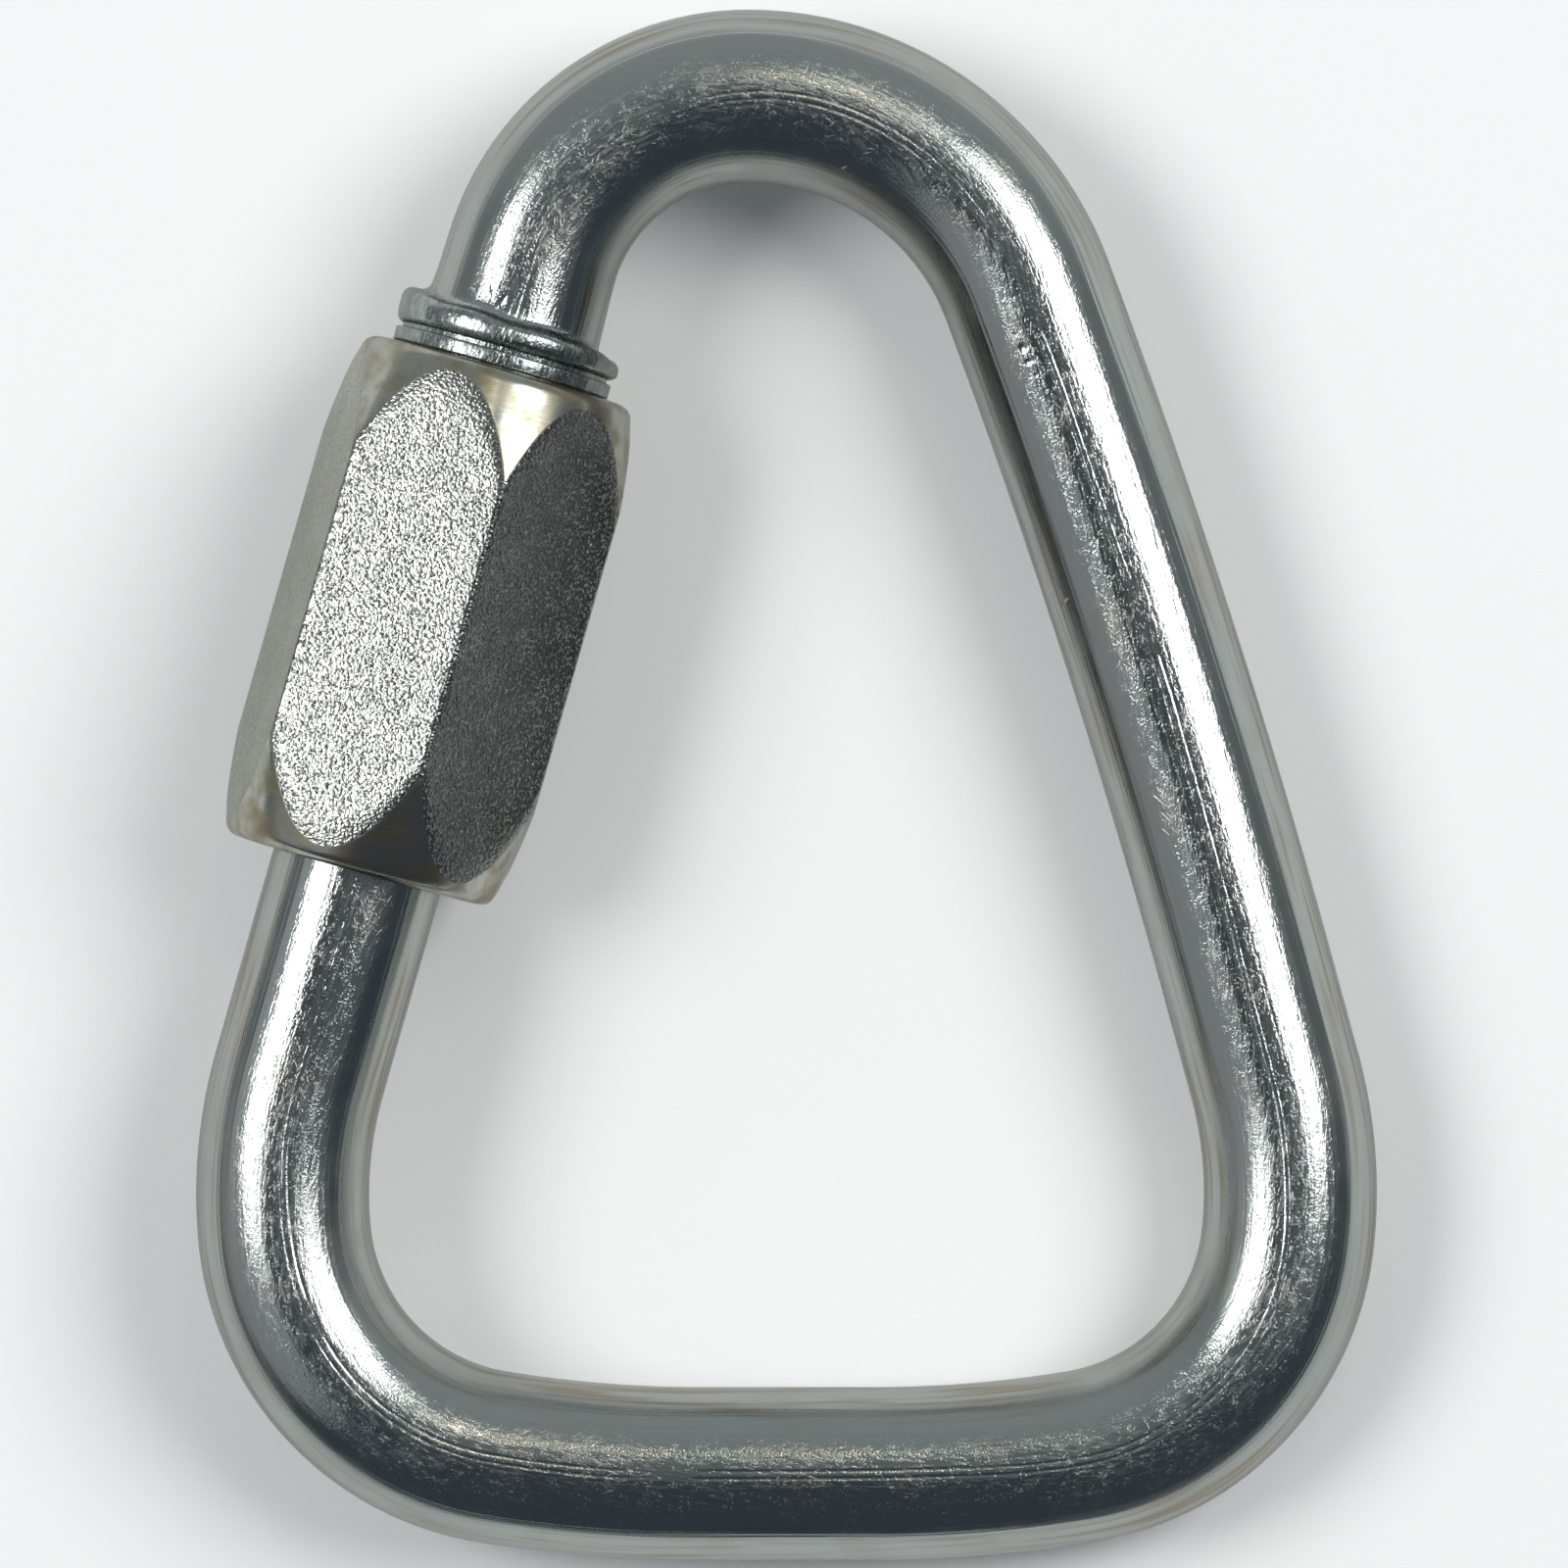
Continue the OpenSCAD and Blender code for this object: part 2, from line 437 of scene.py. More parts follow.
    def _marks(self, tree: Tree, pattern: Socket, peaks: Span, within: Socket | float = 1.0) -> Socket:
        """Keeps only the peaks of a pattern, as separate marks within a region.

        Args:
            tree: Node tree.
            pattern: The pattern.
            peaks: Its values at which a mark begins and is full.
            within: Share of the marks that is kept, from 0 to 1.

        Returns:
            Marks from 0 to 1.
        """
        marks = add_node(
            tree,
            "MapRange",
            {"Value": pattern, "From Min": peaks[0], "From Max": peaks[1]},
            interpolation_type="SMOOTHSTEP",
        )
        kept = add_node(tree, "Math", {0: marks.outputs["Result"], 1: within}, operation="MULTIPLY")
        return kept.outputs["Value"]

    def _streaks(self, tree: Tree, at: Socket, size: Span, turn: float = 0.0) -> Socket:
        """Adds streaks of noise along a direction.

        Args:
            tree: Node tree.
            at: Position along and round the bar, in millimetres.
            size: Length and width of a streak in millimetres.
            turn: Turn of the streaks off the bar's length in degrees.

        Returns:
            The streaks' height.
        """
        turned = add_node(
            tree, "VectorRotate", {"Vector": at, "Axis": self.turn_axis, "Angle": math.radians(turn)}
        )
        scaled = add_node(
            tree,
            "VectorMath",
            {0: turned.outputs["Vector"], 1: (1 / size[0], 1 / size[1], 1 / size[1])},
            operation="MULTIPLY",
        )
        noise = add_node(
            tree, "TexNoise", {"Vector": scaled.outputs["Vector"], "Scale": 1.0, "Detail": 1.0}
        )
        return noise.outputs["Fac"]

    def _sum(self, tree: Tree, parts: list[tuple[Socket, float]]) -> Socket:
        """Adds values with weights.

        Args:
            tree: Node tree.
            parts: Values with their weights.

        Returns:
            The sum.
        """
        total: Socket | float = 0.0
        for value, weight in parts:
            node = add_node(tree, "Math", {0: value, 1: weight, 2: total}, operation="MULTIPLY_ADD")
            total = node.outputs["Value"]
        return total

    def _press(self, tree: Tree, at: Socket, height: Socket, nick: Nick, bar_r: float) -> Socket:
        """Presses one nick into the height.

        Args:
            tree: Node tree.
            at: Position along and round the bar, in millimetres.
            height: Height so far, in millimetres.
            nick: The mark.
            bar_r: Radius of the bar in millimetres.

        Returns:
            The height with the mark.
        """
        angle = math.radians(nick.around)
        centre = (nick.along, bar_r * math.cos(angle), bar_r * math.sin(angle))
        offset = add_node(tree, "VectorMath", {0: at, 1: centre}, operation="SUBTRACT").outputs["Vector"]
        if nick.turn:
            axis = (0.0, math.cos(angle), math.sin(angle))
            turned = add_node(
                tree, "VectorRotate", {"Vector": offset, "Axis": axis, "Angle": math.radians(nick.turn)}
            )
            offset = turned.outputs["Vector"]
        share = (2 / nick.length, 2 / nick.width, 2 / nick.width)
        scaled = add_node(tree, "VectorMath", {0: offset, 1: share}, operation="MULTIPLY")
        far = add_node(tree, "VectorMath", {0: scaled.outputs["Vector"]}, operation="LENGTH")
        dent = add_node(
            tree,
            "MapRange",
            {"Value": far.outputs["Value"], "To Min": -nick.depth, "To Max": 0.0},
            interpolation_type="SMOOTHSTEP",
        )
        node = add_node(tree, "Math", {0: height, 1: dent.outputs["Result"]}, operation="ADD")
        return node.outputs["Value"]


@dataclass(frozen=True)
class BlastedZinc:
    """Zinc plate over blasted steel, on the nut's flats. Millimetres."""

    # Blasting leaves an even grain, so a flat shows no mirror but a dark satin with faint clouds, and
    # single sharp grains sparkle where they catch a lamp. The real grain is too fine to show and is
    # drawn coarser.
    name: str = "zinc plate over blasted steel"
    colour: str = "#8a8c89"
    stain: str = "#7b7c78"
    edge: tuple[float, float, float] = (1.0, 1.0, 0.92)
    grain_mm: float = 0.15
    coarse_mm: float = 0.3
    cloud_mm: float = 2.6
    stain_peaks: Span = (0.35, 0.65)
    # relief of the grain, the shares of it that coarse and sharp grains add, and where the noise is sharp
    relief: float = 0.039
    coarse_share: float = 0.25
    sharp_share: float = 1.35
    sharp_peaks: Span = (0.59, 0.69)
    # roughness of hollows and of tops, which are rubbed smoother, and the noise at which each lies
    roughness: Span = (0.22, 0.1)
    roughness_range: Span = (0.35, 0.68)

    def build(self) -> bpy.types.Material:
        """Builds the flats' material.

        Returns:
            The material.
        """
        material, tree = new_material(self.name)
        at = add_node(tree, "TexCoord").outputs["Object"]
        grain, coarse, cloud = (
            add_node(
                tree, "TexNoise", {"Vector": at, "Scale": 1 / (size * MM), "Detail": detail}
            ).outputs["Fac"]
            for size, detail in ((self.grain_mm, 1.5), (self.coarse_mm, 1.0), (self.cloud_mm, 4.0))
        )
        stain = add_node(
            tree,
            "MapRange",
            {"Value": cloud, "From Min": self.stain_peaks[0], "From Max": self.stain_peaks[1]},
        )
        colour = add_node(
            tree,
            "Mix",
            {"Factor": stain.outputs["Result"], "A": linear(self.colour), "B": linear(self.stain)},
            data_type="RGBA",
        )
        sharp = add_node(
            tree,
            "MapRange",
            {
                "Value": grain,
                "From Min": self.sharp_peaks[0],
                "From Max": self.sharp_peaks[1],
                "To Max": self.sharp_share,
            },
            interpolation_type="SMOOTHSTEP",
        )
        low = add_node(tree, "Math", {0: coarse, 1: self.coarse_share, 2: grain}, operation="MULTIPLY_ADD")
        height = add_node(
            tree, "Math", {0: low.outputs["Value"], 1: sharp.outputs["Result"]}, operation="ADD"
        )
        bump = add_node(
            tree,
            "Bump",
            {"Height": height.outputs["Value"], "Distance": self.relief * MM, "Strength": 1.0},
        )
        rough = add_node(
            tree,
            "MapRange",
            {
                "Value": grain,
                "From Min": self.roughness_range[0],
                "From Max": self.roughness_range[1],
                "To Min": self.roughness[0],
                "To Max": self.roughness[1],
            },
        )
        metal_output(
            tree,
            {
                "Base Color": colour.outputs["Result"],
                "Roughness": rough.outputs["Result"],
                "Normal": bump.outputs["Normal"],
                "Specular Tint": (*self.edge, 1.0),
            },
        )
        return material


@dataclass(frozen=True)
class TurnedZinc:
    """Zinc plate over turned steel, on the nut's ends and in its bore. Millimetres."""

    # Turning leaves rings round the axis, so the ends shine softly with a faint yellow cast in clouds. The
    # real rings are too fine to show and are drawn coarser.
    name: str = "zinc plate over turned steel"
    colour: str = "#a9aba2"
    stain: str = "#8d8570"
    edge: float = 0.78
    ring_mm: float = 0.13
    cloud_mm: float = 1.3
    relief: float = 0.0035
    stain_peaks: Span = (0.38, 0.66)
    roughness: Span = (0.14, 0.36)

    def build(self) -> bpy.types.Material:
        """Builds the turned ends' material.

        Returns:
            The material.
        """
        material, tree = new_material(self.name)
        axial = add_node(tree, "Attribute", attribute_name="axial").outputs["Fac"]
        at = add_node(tree, "TexCoord").outputs["Object"]
        rings = add_node(
            tree, "TexNoise", {"W": axial, "Scale": 1 / self.ring_mm, "Detail": 1.0}, noise_dimensions="1D"
        )
        noise = add_node(tree, "TexNoise", {"Vector": at, "Scale": 1 / (self.cloud_mm * MM), "Detail": 3.0})
        cloud = noise.outputs["Fac"]
        bump = add_node(
            tree,
            "Bump",
            {"Height": rings.outputs["Fac"], "Distance": self.relief * MM, "Strength": 1.0},
        )
        stain = add_node(
            tree,
            "MapRange",
            {"Value": cloud, "From Min": self.stain_peaks[0], "From Max": self.stain_peaks[1]},
        )
        colour = add_node(
            tree,
            "Mix",
            {"Factor": stain.outputs["Result"], "A": linear(self.colour), "B": linear(self.stain)},
            data_type="RGBA",
        )
        rough = add_node(
            tree,
            "MapRange",
            {
                "Value": cloud,
                "From Min": NOISE_RANGE[0],
                "From Max": NOISE_RANGE[1],
                "To Min": self.roughness[0],
                "To Max": self.roughness[1],
            },
        )
        metal_output(
            tree,
            {
                "Base Color": colour.outputs["Result"],
                "Roughness": rough.outputs["Result"],
                "Normal": bump.outputs["Normal"],
                "Specular Tint": (self.edge, self.edge, self.edge, 1.0),
            },
        )
        return material


@dataclass(frozen=True)
class Step:
    """One length of the bar: straight with an angle of 0, else bent to the left round a radius."""

    size: float
    angle: float = 0.0

    @property
    def length(self) -> float:
        """Length on the bar's axis in millimetres."""
        return self.size * math.radians(self.angle) if self.angle else self.size


class BarPath:
    """The bar's axis in the XY plane, in millimetres."""

    def __init__(self, steps: list[Step], heading: float, anchor: tuple[int, Vector]) -> None:
        """Lays the steps end to end.

        Args:
            steps: Lengths of the bar in order.
            heading: Direction of the first step in degrees.
            anchor: Index of a step and the point where it starts.
        """
        self.steps = steps
        self.starts: list[tuple[float, np.ndarray, float]] = []
        run, at, turn = 0.0, np.zeros(2), math.radians(heading)
        for step in steps:
            self.starts.append((run, at, turn))
            at = at + self._offset(step, turn, np.array([step.length]))[0]
            turn += math.radians(step.angle)
            run += step.length
        self.length = run
        move = np.array(anchor[1][:2]) - self.starts[anchor[0]][1]
        self.starts = [(s, p + move, a) for s, p, a in self.starts]

    @staticmethod
    def _offset(step: Step, turn: float, along: np.ndarray) -> np.ndarray:
        """Gives the way from a step's start to points along it.

        Args:
            step: The step.
            turn: Its direction at the start in radians.
            along: Lengths from its start.

        Returns:
            One row of X and Y a point.
        """
        if not step.angle:
            return along[:, None] * np.array([math.cos(turn), math.sin(turn)])
        end = turn + along / step.size
        return step.size * np.stack([np.sin(end) - math.sin(turn), math.cos(turn) - np.cos(end)], 1)

    def at(self, along: np.ndarray) -> tuple[np.ndarray, np.ndarray, np.ndarray]:
        """Looks up points on the axis.

        Args:
            along: Lengths from the path's start.

        Returns:
            Points, directions in radians, and curvatures per millimetre.
        """
        points, turns, bends = np.zeros((len(along), 2)), np.zeros(len(along)), np.zeros(len(along))
        # steps run on to each other, so each later step takes over from its own start
        for step, (run, start, turn) in zip(self.steps, self.starts):
            here = along >= run
            local = along[here] - run
            points[here] = start + self._offset(step, turn, local)
            turns[here] = turn + (local / step.size if step.angle else 0.0)
            bends[here] = 1 / step.size if step.angle else 0.0
        return points, turns, bends


@dataclass
class BentBar:
    """The one bent bar, with its collar and the rolled threads of both ends. Millimetres and degrees."""

    bar_d: float = 8.0
    inside_length: float = 55.7
    inside_width: float = 38.6
    left_lean: float = 15.9
    right_lean: float = 15.2
    base_bend_r: float = 11.5
    base_ease_r: float = 60.0
    base_ease_angle: float = 9.2
    leg_ease_r: float = 20.5
    leg_ease_angle: float = 21.0
    leg_bow_r: float = 370.0
    leg_bow_angle: float = 5.2
    crown_r: float = 13.8
    stub_length: float = 3.2
    flange_d: float = 10.6
    flange_t: float = 1.2
    flange_round: float = 0.45
    groove_w: float = 0.2
    groove_depth: float = 0.25
    ring_d: float = 10.3
    ring_t: float = 0.7
    ring_edge: float = 0.12
    thread_d: float = 9.2
    thread_depth: float = 0.55
    pitch: float = 1.0
    upper_thread: float = 5.0
    lower_thread: float = 7.0
    gate_gap: float = 9.0
    tip_chamfer: float = 0.6
    # shares of the pitch on the thread's crest and root, and how it runs out on the bar and at the ring
    crest_share: float = 0.125
    root_share: float = 0.25
    lower_run_out: float = 0.8
    upper_run_out: Span = (0.15, 0.5)
    # the furthest that a thread's root reaches under the bar's surface
    root_under: float = 0.01
    # spacing of the mesh's rings, its points round the bar and on a rounded edge
    ring_step: float = 0.5
    thread_step: float = 0.08
    sides: int = 96
    round_points: int = 7
    # swell of the bar towards the collar, and the fillet between them
    swell: float = 0.12
    swell_run: float = 4.0
    fillet: float = 0.5
    fillet_sweep: float = 78.0
    # the upset edge off the flange's face: where it starts, is full, and stops short of the flange's back
    upset_reach: tuple[float, float, float] = (-1.6, -0.4, 0.4)
    upset_stop: float = 0.1
    # its lobe on the outer side and slope on the inner side, their spread in radians, and its ripples
    # as size, count and phase
    lobe: float = 0.45
    slope: float = 0.3
    lobe_spread: float = 0.7
    ripples: tuple[tuple[float, int, float], ...] = ((0.05, 5, 1.0), (0.04, 9, 0.0))
    # where the collar's crust begins and is full, off the flange's face
    crust_from: Span = (-0.5, -0.1)
    # radius of a bend from which the plate is fully satin, and the spacing at which bends are sampled
    satin_r: float = 20.0
    bend_step: float = 0.25
    nicks: tuple[Nick, ...] = (
        Nick(128.6, 70, 0.32, 0.22, 0.02),
        Nick(127.9, 72, 0.62, 0.6, 0.05),
        Nick(127.2, 72, 0.4, 0.62, 0.045),
        Nick(126.5, 74, 0.3, 0.3, 0.02),
        Nick(116.2, 37, 0.75, 0.16, 0.05, 72),
        Nick(163.3, 99, 1.5, 0.5, 0.09, 8),
        Nick(162.6, 108, 0.8, 0.3, 0.04, -10),
        Nick(139.1, 56, 1.0, 0.12, 0.015, 38),
        Nick(141.6, 50, 0.7, 0.1, 0.015, -50),
        Nick(117.9, 115, 2.6, 0.14, 0.02, 6),
        Nick(14.4, 84, 1.6, 0.12, 0.015, 20),
        Nick(13.6, 76, 1.2, 0.1, 0.015, -35),
        Nick(24.0, 70, 3.5, 0.12, 0.015, 4),
        Nick(66.0, 72, 2.8, 0.13, 0.02, 3),
        Nick(48.0, 100, 1.4, 0.12, 0.02, -24),
    )
    path: BarPath = field(init=False)
    seat: Vector = field(init=False)

    @property
    def collar_t(self) -> float:
        """Thickness of the whole collar."""
        return self.flange_t + self.groove_w + self.ring_t

    @property
    def collar_from(self) -> float:
        """Length along the bar at which the collar begins."""
        return self.path.length - self.upper_thread - self.collar_t

    def _bend(self, lean: float) -> list[Step]:
        """Gives a base bend from the base bar to a leg.

        Args:
            lean: Lean of the leg.

        Returns:
            Its slow, tight and easing curves in order.
        """
        tight = 90 + lean - self.leg_ease_angle - self.base_ease_angle
        return [
            Step(self.base_ease_r, self.base_ease_angle),
            Step(self.base_bend_r, tight),
            Step(self.leg_ease_r, self.leg_ease_angle),
        ]

    def _bend_size(self, lean: float) -> tuple[float, float, float]:
        """Measures a base bend.

        Args:
            lean: Lean of its leg.

        Returns:
            Reach to its widest point along X, run along X and rise along Y.
        """
        ease, tight = math.radians(self.base_ease_angle), math.radians(90 + lean - self.leg_ease_angle)
        wide, end = min(tight, math.pi / 2), math.radians(90 + lean)
        start = self.base_ease_r * math.sin(ease) - self.base_bend_r * math.sin(ease)
        reach = start + self.base_bend_r * math.sin(wide) + self.leg_ease_r * (1 - math.sin(wide))
        leg_run = self.leg_ease_r * (math.sin(end) - math.sin(tight))
        run = start + self.base_bend_r * math.sin(tight) + leg_run
        rise = (
            self.base_ease_r * (1 - math.cos(ease))
            + self.base_bend_r * (math.cos(ease) - math.cos(tight))
            + self.leg_ease_r * (math.cos(tight) - math.cos(end))
        )
        return reach, run, rise

    def lay_out(self) -> None:
        """Works out the axis from the sizes, as the construction does."""
        axis_length, half = self.inside_length + self.bar_d, (self.inside_width + self.bar_d) / 2
        left, right = self._bend_size(self.left_lean), self._bend_size(self.right_lean)
        left_half, right_half = half - left[0], half - right[0]
        lean, back = math.radians(self.right_lean), math.radians(self.left_lean)
        shoulder = math.radians(90 + self.right_lean + self.leg_bow_angle)
        bow_rise = self.leg_bow_r * (-math.sin(lean) - math.cos(shoulder))
        bow_run = self.leg_bow_r * (math.sin(shoulder) - math.cos(lean))
        crown_rise = self.crown_r * (1 + math.cos(shoulder))
        straight = (axis_length - right[2] - bow_rise - crown_rise) / math.cos(lean)
        leg_x = right_half + right[1] - straight * math.sin(lean)
        top_x = leg_x + bow_run - self.crown_r * math.sin(shoulder)
        foot = (-left_half - left[1], left[2])
        across = (top_x - foot[0]) * math.cos(back) - (axis_length - foot[1]) * math.sin(back)
        crown_left = across / (1 - math.sin(back))
        leg = (axis_length - crown_left * (1 - math.sin(back)) - foot[1]) / math.cos(back)
        seat_run = leg - self.stub_length - self.collar_t
        lower_end = seat_run - self.upper_thread - self.gate_gap
        self.seat = Vector((foot[0] + seat_run * math.sin(back), foot[1] + seat_run * math.cos(back), 0))
        steps = [Step(lower_end)] + self._bend(self.left_lean)[::-1]
        base = len(steps)
        steps += [Step(left_half + right_half)] + self._bend(self.right_lean)
        steps += [Step(straight), Step(self.leg_bow_r, self.leg_bow_angle)]
        steps += [Step(self.crown_r, 180 - math.degrees(shoulder)), Step(crown_left, 90 - self.left_lean)]
        steps += [Step(self.stub_length + self.collar_t + self.upper_thread)]
        self.path = BarPath(steps, -90 - self.left_lean, (base, Vector((-left_half, 0, 0))))

    def _disc(self, start: float, radius: float, width: float, edge: float) -> list[tuple[float, float]]:
        """Gives a disc on the bar with both its edges rounded.

        Args:
            start: Length at which the disc begins.
            radius: Its radius.
            width: Its thickness.
            edge: Radius of its edges.

        Returns:
            Lengths and radii in order.
        """
        rows = []
        for centre, sweep in ((start + edge, (-90, 0)), (start + width - edge, (0, 90))):
            for a in np.radians(np.linspace(*sweep, self.round_points)):
                rows.append((centre + edge * math.sin(a), radius - edge + edge * math.cos(a)))
        return rows

    def _profile(self) -> np.ndarray:
        """Gives the turned shape along the bar.

        Returns:
            One row of length and radius a ring.
        """
        bar_r, top_r, ring_r = self.bar_d / 2, self.thread_d / 2, self.ring_d / 2
        run_out = top_r - bar_r
        tip, fine = self.tip_chamfer, self.thread_step
        rows = [(0.0, top_r - tip)]
        rows += [(s, min(top_r, top_r - tip + s)) for s in np.arange(fine, self.lower_thread, fine)]
        rows += [(self.lower_thread, top_r), (self.lower_thread + run_out, bar_r)]
        start = self.collar_from - self.fillet
        for s in np.arange(self.lower_thread + run_out + self.ring_step, start, self.ring_step):
            rows.append((s, bar_r + self.swell * max(0.0, (s - start) / self.swell_run + 1) ** 2))
        foot = bar_r + self.swell
        for a in np.radians(np.linspace(0, self.fillet_sweep, self.round_points)):
            rows.append((start + self.fillet * math.sin(a), foot + self.fillet * (1 - math.cos(a))))
        rows += self._disc(self.collar_from, self.flange_d / 2, self.flange_t, self.flange_round)
        groove = self.collar_from + self.flange_t
        ring = groove + self.groove_w
        rows += [(groove, ring_r - self.groove_depth), (ring, ring_r - self.groove_depth)]
        rows += self._disc(ring, ring_r, self.ring_t, self.ring_edge)
        seat, end = ring + self.ring_t, self.path.length
        rows += [(s, min(top_r, top_r - tip + end - s)) for s in np.arange(seat, end, fine)]
        rows += [(end, top_r - tip)]
        return np.array(rows)

    def _thread(self, along: np.ndarray, around: np.ndarray) -> np.ndarray:
        """Cuts both threads, in step so that one nut runs on both.

        Args:
            along: Lengths of the rings.
            around: Angles of their points in radians.

        Returns:
            How deep each point lies below the crests, one row a ring.
        """
        end = self.path.length
        lower = np.clip((self.lower_thread - along) / self.lower_run_out, 0, 1)
        upper = np.interp(along - (end - self.upper_thread), self.upper_run_out, [0.0, 1.0])
        phase = np.where(along > end / 2, along - end - self.gate_gap, along)
        turn = (phase[:, None] / self.pitch - around[None, :] / (2 * math.pi)) % 1.0
        flank_share = 1 - self.crest_share - self.root_share
        depth = np.clip((2 * np.abs(turn - 0.5) - self.crest_share) / flank_share, 0, 1)
        return self.thread_depth * np.maximum(lower, upper)[:, None] * depth

    def _upset(self, along: np.ndarray, around: np.ndarray) -> np.ndarray:
        """Gives the collar's upset edge its lobe on the outer side and its slope on the inner side.

        Args:
            along: Lengths of the rings.
            around: Angles of their points in radians.

        Returns:
            How far each point slides along the bar, one row a ring.
        """
        reach = (*self.upset_reach, self.flange_t - self.upset_stop)
        share = np.interp(along - self.collar_from, reach, [0.0, 1.0, 1.0, 0.0])
        outer = np.exp(-(((around - math.pi) / self.lobe_spread) ** 2))
        inner = np.exp(-((np.minimum(around, 2 * math.pi - around) / self.lobe_spread) ** 2))
        ripple = sum(size * np.sin(count * around + phase) for size, count, phase in self.ripples)
        return share[:, None] * (self.slope * inner - self.lobe * outer + ripple)

    def build(self) -> bpy.types.Object:
        """Builds the bar as one closed mesh.

        Returns:
            The bar's object.
        """
        rows = self._profile()
        along, outside = rows[:, 0], rows[:, 1][:, None]
        around = np.arange(self.sides) * 2 * math.pi / self.sides
        radius = np.maximum(outside - self._thread(along, around), self.bar_d / 2 - self.root_under)
        radius = np.minimum(radius, outside)
        points, turns, _ = self.path.at(along)
        side, up = radius * np.cos(around), radius * np.sin(around)
        slide = self._upset(along, around)
        cos, sin = np.cos(turns)[:, None], np.sin(turns)[:, None]
        x = points[:, :1] - side * sin + slide * cos
        y = points[:, 1:] + side * cos + slide * sin
        verts = np.stack([x, y, up], -1).reshape(-1, 3) * MM
        straight = np.stack([np.broadcast_to(along[:, None], side.shape), side, up], -1).reshape(-1, 3)
        grid = np.arange(len(verts)).reshape(len(along), self.sides)
        beside = np.roll(grid, -1, 1)
        quads = np.stack([grid[:-1], grid[1:], beside[1:], beside[:-1]], -1).reshape(-1, 4)[:, ::-1]
        made = mesh_object("bar", verts, quads, [grid[0].tolist(), grid[-1].tolist()[::-1]])
        set_attribute(made, "straight", straight)
        bend = np.interp(along, *self._bend_weight())
        set_attribute(made, "bend", np.repeat(bend, self.sides))
        upset = np.interp(along - self.collar_from, (*self.crust_from, self.collar_t), [0.0, 1.0, 1.0])
        set_attribute(made, "upset", np.repeat(upset, self.sides))
        return made

    def _bend_weight(self) -> tuple[np.ndarray, np.ndarray]:
        """Gives how much the bar is bent along its length, smoothed over its thickness.

        Returns:
            Lengths, and weights from 0 on the straights to 1 in the bends.
        """
        even = np.arange(0, self.path.length, self.bend_step)
        bends = np.clip(self.path.at(even)[2] * self.satin_r, 0, 1)
        reach = round(self.bar_d / 2 / self.bend_step)
        window = np.hanning(2 * reach + 1)
        return even, np.convolve(np.pad(bends, reach, "edge"), window / window.sum(), "valid")

    def dress(self, made: bpy.types.Object, finish: BrightZinc) -> None:
        """Gives the bar its finish and its body.

        Args:
            made: The bar's object.
            finish: Its finish.
        """
        made.data.materials.append(finish.build(self.nicks, self.bar_d / 2))
        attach(made, Body.BAR.value)
        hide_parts("bent_bar")


